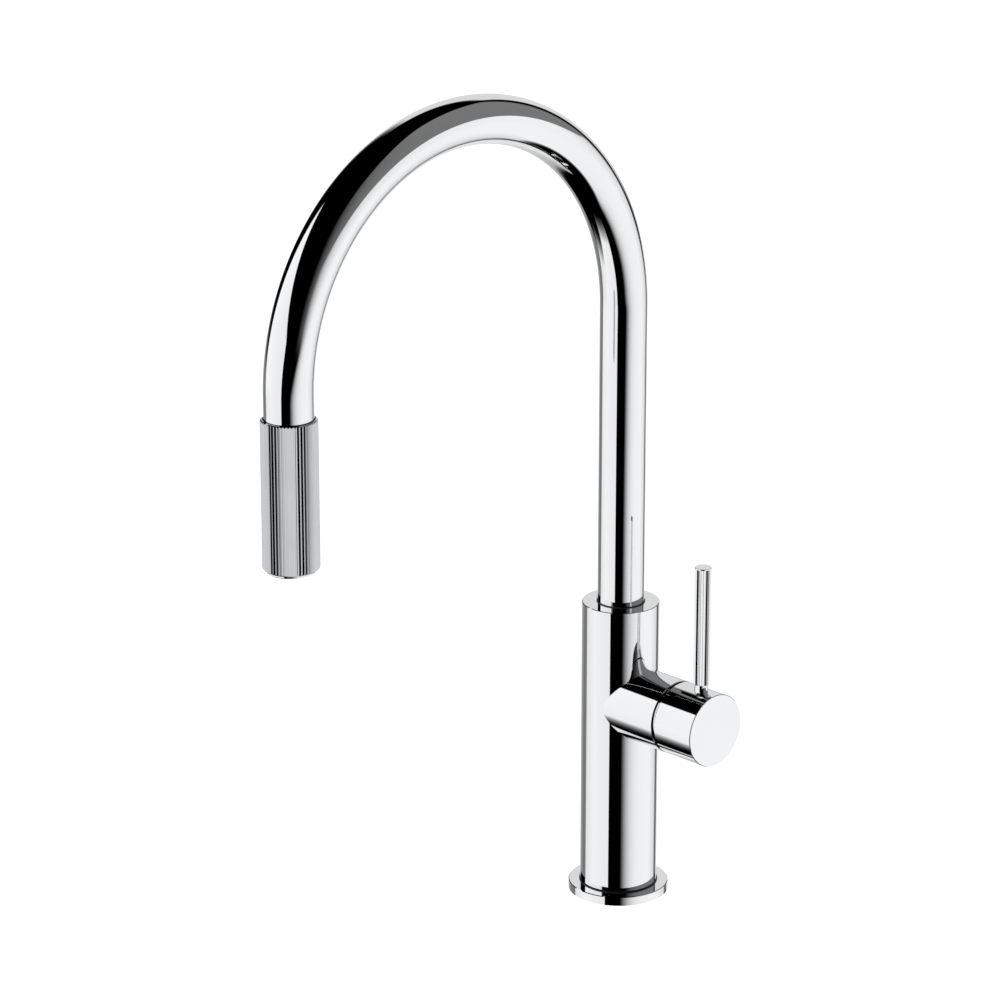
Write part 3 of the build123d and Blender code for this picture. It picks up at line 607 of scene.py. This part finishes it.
def laid_on_branch(mesh):
    """Turns a mesh made up the Z axis to run out along X at the height of the branch."""
    for vertex in mesh.vertices:
        x, y, z = vertex.co
        vertex.co = (z, y, HUB_Z - x)


def saddled(mesh):
    """Lays the branch over and cuts its inner end to the round of the body."""
    laid_on_branch(mesh)
    for vertex in mesh.vertices:
        if vertex.co.x < MM:
            vertex.co.x = math.sqrt(BODY_R ** 2 - vertex.co.y ** 2) - SADDLE_LAP


def side_opened(mesh):
    """Cuts the round opening into the branch through one side of the body."""
    inner, outer = BODY_BORE_R / 2, 2 * BODY_R
    outline = [(0.0, inner), (BRANCH_BORE_R, inner), (BRANCH_BORE_R, outer), (0.0, outer)]
    drill_mesh = turned_mesh("drill", outline, OPENING_SIDES, closed=False)
    laid_on_branch(drill_mesh)
    drill = put_out("drill", drill_mesh)
    shell = put_out("shell", mesh.copy())
    cut = shell.modifiers.new("opening", "BOOLEAN")
    cut.operation = "DIFFERENCE"
    cut.solver = "EXACT"
    cut.object = drill
    evaluated = shell.evaluated_get(bpy.context.evaluated_depsgraph_get())
    work = bmesh.new()
    work.from_mesh(bpy.data.meshes.new_from_object(evaluated))
    work.to_mesh(mesh)
    work.free()
    for helper in (drill, shell):
        bpy.data.objects.remove(helper)


def make_flange():
    low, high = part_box("base_flange")
    rim_r, c = high.x, FLANGE_CHAMFER
    add_turned("deck_flange", "base_flange", [
        (SHANK_HOLE_R, GASKET_T), (SHANK_HOLE_R, low.z), (GASKET_IN_R, low.z),
        (GASKET_IN_R, GASKET_T), (GASKET_OUT_R, GASKET_T), (GASKET_OUT_R, low.z), (rim_r, low.z),
        (rim_r, high.z - c), (rim_r - c, high.z), (SHANK_HOLE_R, high.z)])


def make_body():
    low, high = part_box("body_column")
    c = BODY_CHAMFER
    clear = BRANCH_BORE_R + MM
    add_turned("body", "body_column", [
        (BODY_BORE_R, low.z), (BODY_R - c, low.z), (BODY_R, low.z + c), (BODY_R, HUB_Z - clear),
        (BODY_R, HUB_Z + clear), (BODY_R, high.z - c), (BODY_R - c, high.z), (WIPER_R, high.z),
        (WIPER_R, SOCKET_TOP_Z), (SOCKET_R, SOCKET_TOP_Z), (SOCKET_R, SOCKET_BOTTOM_Z),
        (BODY_BORE_R, SOCKET_BOTTOM_Z)], shape=side_opened)


def make_branch():
    end_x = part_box("side_branch")[1].x
    add_turned("branch", "side_branch", [
        (BRANCH_BORE_R, 0.0), (HUB_R, 0.0), (HUB_R, end_x - HUB_CHAMFER),
        (HUB_R - HUB_CHAMFER, end_x), (BRANCH_BORE_R, end_x)], shape=saddled)


def make_hub():
    low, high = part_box("handle_hub")
    bore_r, c = HUB_R - HUB_WALL, HUB_CHAMFER
    add_turned("hub_shell", "handle_hub", [
        (bore_r, low.x), (HUB_R - c, low.x), (HUB_R, low.x + c), (HUB_R, high.x - c),
        (HUB_R - c, high.x), (HUB_R - HUB_FACE_RIM, high.x), (0.0, high.x),
        (0.0, high.x - HUB_FRONT_T), (bore_r, high.x - HUB_FRONT_T)],
        body="handle", shape=laid_on_branch)


def make_nozzle_ring():
    low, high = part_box("nozzle_ring")
    radius = (high.x - low.x) / 2
    bore_r, c = radius - NOZZLE_WALL, NOZZLE_CHAMFER
    add_turned("nozzle_rim", "nozzle_ring", [
        (bore_r, low.z), (radius - c, low.z), (radius, low.z + c), (radius, high.z),
        (bore_r, high.z)], body="spray_head", centre=(0.0, -REACH))


def make_ridged_sleeve():
    low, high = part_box("spray_sleeve")
    crest = (high.x - low.x) / 2
    centre = ((low.x + high.x) / 2, (low.y + high.y) / 2)
    bottom, top, c = low.z, high.z, SLEEVE_CHAMFER
    core_top = top - SLEEVE_CORE_DEPTH
    outline = [(SLEEVE_BORE_R, bottom)]
    outline += steps_between((crest - c, bottom), (crest, bottom + c), 6)
    outline += steps_between((crest, bottom + c), (crest, top - c), 8)
    outline += steps_between((crest, top - c), (crest - c, top), 6)
    outline += [(crest - c, top), (SLEEVE_POCKET_R, top), (SLEEVE_POCKET_R, core_top),
                (SLEEVE_BORE_R, core_top)]
    mesh = turned_mesh("ridged_sleeve", outline, SLEEVE_RIDGES * SIDES_PER_RIDGE, centre)
    sizes = {"Centre X": centre[0], "Centre Y": centre[1], "Ridges": float(SLEEVE_RIDGES),
             "First crest": 0.0, "Crest radius": crest,
             "Depth": math.pi * crest / SLEEVE_RIDGES * SLEEVE_SLOPE,
             "Rounding": CREST_ROUNDING, "From": bottom - MM, "To": top + MM}
    sleeve = grown("ridged_sleeve", RIDGED_CHROME_WITH_PAINTED_SHADE, sizes, cut_ridges, mesh)
    smooth_below(sleeve.data, RIDGE_EDGE_DEG)
    keep(sleeve, "spray_head", "polished_chrome", "spray_sleeve")


def make_lever():
    low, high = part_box("lever_rod")
    depth = math.pi * LEVER_R / LEVER_RIDGES * LEVER_SLOPE
    cap_z = high.z - LEVER_CAP_T
    lap, edge = LEVER_CAP_LAP, LEVER_CAP_EDGE
    ridge_foot = (LEVER_R, LEVER_FLUTED_Z + depth / 2)
    outline = [(0.0, low.z), (LEVER_NECK_R, low.z), (LEVER_NECK_R, LEVER_FLUTED_Z)]
    outline += steps_between((LEVER_R - depth / 2, LEVER_FLUTED_Z), ridge_foot, 4)
    outline += steps_between(ridge_foot, (LEVER_R, cap_z - lap), 10)
    outline += [(LEVER_R, cap_z - lap), (LEVER_R, cap_z + lap), (LEVER_R, high.z - edge),
                (LEVER_R - edge, high.z), (0.0, high.z)]
    mesh = turned_mesh("pin_lever", outline, LEVER_RIDGES * SIDES_PER_RIDGE, (LEVER_X, 0.0),
                       closed=False, first_angle=LEVER_FIRST_CREST)
    sizes = {"Centre X": LEVER_X, "Centre Y": 0.0, "Ridges": float(LEVER_RIDGES),
             "First crest": LEVER_FIRST_CREST, "Crest radius": LEVER_R, "Depth": depth,
             "Rounding": CREST_ROUNDING, "From": LEVER_FLUTED_Z - 0.01 * MM, "To": cap_z}
    lever = grown("pin_lever", CHROME, sizes, cut_ridges, mesh)
    smooth_below(lever.data, RIDGE_EDGE_DEG)
    keep(lever, "handle", "polished_chrome", "lever_rod")


def make_shank():
    low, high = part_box("threaded_shank")
    rows = round((high.z - low.z) / THREAD_PITCH * ROWS_PER_THREAD)
    thread_foot = (SHANK_R, low.z + SHANK_CHAMFER)
    outline = [(SHANK_BORE_R, low.z), (SHANK_R - SHANK_CHAMFER, low.z)]
    outline += steps_between(thread_foot, (SHANK_R, high.z), rows)
    outline += [(SHANK_R, high.z), (SHANK_BORE_R, high.z)]
    mesh = turned_mesh("threaded_shank_turned", outline, SHANK_SIDES)
    sizes = {"Centre X": 0.0, "Centre Y": 0.0, "Pitch": THREAD_PITCH, "Crest radius": SHANK_R,
             "Depth": THREAD_DEPTH, "From": thread_foot[1], "To": THREAD_TOP_Z}
    shank = grown("threaded_shank_turned", BRASS, sizes, cut_thread, mesh)
    smooth_below(shank.data, TUBE_EDGE_DEG)
    keep(shank, "faucet_body", "brass", "threaded_shank")


def make_hoses():
    sizes = {"Foot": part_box("spray_hose")[0].z, "Arch base": ARCH_BASE_Z, "Arch radius": ARCH_R,
             "Outlet": ARCH_BASE_Z, "Radius": HOSE_R, "Steps": HOSE_STEPS, "Sides": HOSE_SIDES}
    hose = grown("supply_spray_hose", HOSE_BRAID, sizes, gooseneck_path)
    smooth_below(hose.data, TUBE_EDGE_DEG)
    keep(hose, "spout", "braided_hose", "spray_hose")

    low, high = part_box("hose_end")
    outline = [(0.0, low.z)]
    outline += steps_between((HOSE_R, low.z), (HOSE_R, high.z), PULL_HOSE_ROWS)
    outline += [(HOSE_R, high.z), (0.0, high.z)]
    mesh = turned_mesh("pull_hose", outline, PULL_HOSE_SIDES, (0.0, -REACH), closed=False)
    mesh.materials.append(PULL_HOSE_BRAID)
    smooth_below(mesh, TUBE_EDGE_DEG)
    drawn = put_out("pull_hose", mesh)
    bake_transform(drawn)
    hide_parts("hose_end")


def make_jets():
    face_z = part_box("spray_face")[0].z
    for count, (radius, jets) in enumerate(JET_CIRCLES):
        sizes = {"Centre X": 0.0, "Centre Y": -REACH, "Height": face_z, "Circle radius": radius,
                 "Jets": jets, "Rim radius": JET_RIM_R, "Rim thickness": JET_RIM_THICKNESS}
        rims = grown("jet_rims_%d" % (count + 1), SILICONE, sizes, ring_of_jets)
        smooth_below(rims.data, JET_EDGE_DEG)
        keep(rims, "spray_head", "spray_face_plastic")


# --- Studio ------------------------------------------------------------------------------------
VIEW_TURN = math.radians(45.86)
VIEW_RISE = math.radians(18.41)
VIEW_DISTANCE = 2.4634
VIEW_LENS = 149.24
FILM_WIDTH = 36.0
RIGHT = Vector((math.cos(VIEW_TURN), math.sin(VIEW_TURN), 0.0))
TOWARD = Vector((math.sin(VIEW_TURN), -math.cos(VIEW_TURN), 0.0))
BACK = (TOWARD * math.cos(VIEW_RISE) + Vector((0.0, 0.0, math.sin(VIEW_RISE)))).normalized()
AIM = Vector((0.0, 0.0, 0.24927)) - RIGHT * 0.07239
PANEL_STRENGTH = 1.1
PANEL_GAMMA = 2.2


def make_camera():
    data = bpy.data.cameras.new("camera")
    data.lens = VIEW_LENS
    data.sensor_width = FILM_WIDTH
    data.clip_end = 50.0
    camera = bpy.data.objects.new("camera", data)
    camera.location = AIM + BACK * VIEW_DISTANCE
    camera.rotation_euler = BACK.to_track_quat("Z", "Y").to_euler()
    bpy.context.scene.collection.objects.link(camera)
    bpy.context.scene.camera = camera


def left_panel(bench, across, toward, height, turn, rise):
    """The big panel on the left, with a slanted top edge, fading out softly low down."""
    slant = math.radians(-108.0)
    along_slant = across * math.sin(slant) + toward * math.cos(slant)
    below_top = bench.past(along_slant * 0.79 - height, 0.0, 0.03)
    right_edge = -25.0 + bench.limited(rise / -20.0) * -7.0 + bench.smallest(rise + 20.0, 0.0) * 0.1
    low_edge = -40.5 - bench.limited((turn + 92.0) / 10.0) * 16.5
    shape = (below_top * bench.past(turn, -121.0, 3.0) * bench.past(right_edge - turn, 0.0, 1.5)
             * bench.past(rise - low_edge, 0.0, 16.0))
    dim_corner = bench.limited((-85.0 - turn) / 40.0) * bench.limited((-12.0 - rise) / 8.0)
    return shape * (0.972 - (turn + 120.0) * 0.0007 - dim_corner * 0.11)


def right_panel(bench, turn, rise):
    """The panel on the right, which fades in softly from the black beside the camera."""
    lift = bench.limited((rise + 22.0) / 14.0)
    begun = bench.largest(turn - 2.0 - lift * lift * 30.0, 0.0)
    fade = 1.0 - bench.math("EXPONENT", begun / -14.0)
    shape = (fade * bench.past(9.5 - rise, 0.0, 2.0) * bench.past(134.0 - turn, 0.0, 6.0)
             * bench.past(rise, -63.0, 6.0))
    return shape * (0.95 - bench.limited((turn - 100.0) / 35.0) * 0.13)


def grey_panel(bench, turn, rise):
    """The grey panel above the right one, with a domed top."""
    dome = 65.0 - ((turn - 85.0) / 11.6) ** 2.0
    fade = 1.0 - bench.math("EXPONENT", bench.largest(turn - 18.0, 0.0) / -16.0)
    shape = (fade * bench.past(rise, -6.0, 6.0) * bench.past(dome - rise, 0.0, 3.0)
             * bench.past(138.0 - turn, 0.0, 5.0))
    return shape * 0.46


def pale_ground(bench, behind, turn, rise):
    """The pale ground behind, bright above and fading to the left below."""
    high = (bench.past(behind, 149.0, 3.0) * bench.past(199.0 - behind, 0.0, 12.0)
            * bench.past(42.0 - rise, 0.0, 5.0) * bench.past(rise, -8.0, 8.0))
    low_end = 204.0 + bench.limited((rise + 42.0) / 8.0) * 42.0
    low = (bench.past(behind, 148.0, 8.0) * bench.past(-8.0 - rise, 0.0, 8.0)
           * bench.past(low_end - behind, 0.0, 14.0))
    low_tone = 0.88 - bench.limited((behind - 172.0) / 50.0) * 0.42
    corner = bench.past(turn, 128.0, 6.0) * bench.past(-10.0 - rise, 0.0, 6.0)
    return bench.largest(high * 0.84, low * low_tone, corner * 0.40)


def studio_level(bench):
    """Brightness, as seen, of the soft panels and black cards that stand round the faucet.

    Turn is in degrees from the way to the camera, growing to its right, and rise is in degrees
    above the horizon. Behind is the turn counted on from 0 to 360.
    """
    direction = bench.node("ShaderNodeTexCoord").outputs["Generated"]
    across, toward = bench.dot(direction, RIGHT), bench.dot(direction, TOWARD)
    height = bench.parts(direction)[2]
    turn = bench.math("ARCTAN2", across, toward) * (360.0 / TURN)
    rise = bench.math("ARCSINE", height) * (360.0 / TURN)
    behind = turn + bench.math("LESS_THAN", turn, 0.0) * 360.0
    return bench.largest(left_panel(bench, across, toward, height, turn, rise),
                         right_panel(bench, turn, rise), grey_panel(bench, turn, rise),
                         pale_ground(bench, behind, turn, rise))


def make_studio():
    world = bpy.data.worlds.new("studio")
    world.use_nodes = True
    bpy.context.scene.world = world
    bench = Bench(world.node_tree)
    light = studio_level(bench) ** PANEL_GAMMA * PANEL_STRENGTH
    seen = Num(bench, bench.node("ShaderNodeLightPath").outputs["Is Camera Ray"])
    white = (1.0, 1.0, 1.0, 1.0)
    panels = bench.node("ShaderNodeBackground", inputs={"Color": white, "Strength": light})
    plain = bench.node("ShaderNodeBackground", inputs={"Color": white, "Strength": 1.0})
    both = bench.node("ShaderNodeMixShader", inputs={
        0: seen, 1: panels.outputs[0], 2: plain.outputs[0]})
    bench.node("ShaderNodeOutputWorld", inputs={"Surface": both.outputs[0]})


def pale_deck(bench, place):
    """A bright, even deck surface with the faintest cloud in it."""
    cloud = mottle(bench, place, 6.0)
    return bench.node("ShaderNodeBsdfPrincipled", inputs={
        "Base Color": tinted(bench, cloud, (0.80, 0.80, 0.80), (0.84, 0.84, 0.84)),
        "Roughness": 0.6,
        "Emission Color": tinted(bench, cloud, (0.96, 0.96, 0.96), (1.0, 1.0, 1.0)),
        "Emission Strength": 1.0})


def make_deck():
    outline = [(DECK_HOLE_R, -DECK_DROP), (DECK_R, -DECK_DROP)]
    mesh = turned_mesh("deck", outline, DECK_SIDES, closed=False)
    for face in mesh.polygons:
        face.flip()
    mesh.materials.append(finish("pale_deck", pale_deck))
    deck = put_out("deck", mesh)
    deck.visible_glossy = False


make_camera()
make_studio()
make_deck()
dress_packed_nodes()
make_flange()
make_body()
make_branch()
make_hub()
make_gooseneck()
make_nozzle_ring()
make_ridged_sleeve()
make_lever()
make_shank()
make_hoses()
make_jets()
bpy.context.scene.view_settings.view_transform = "Standard"
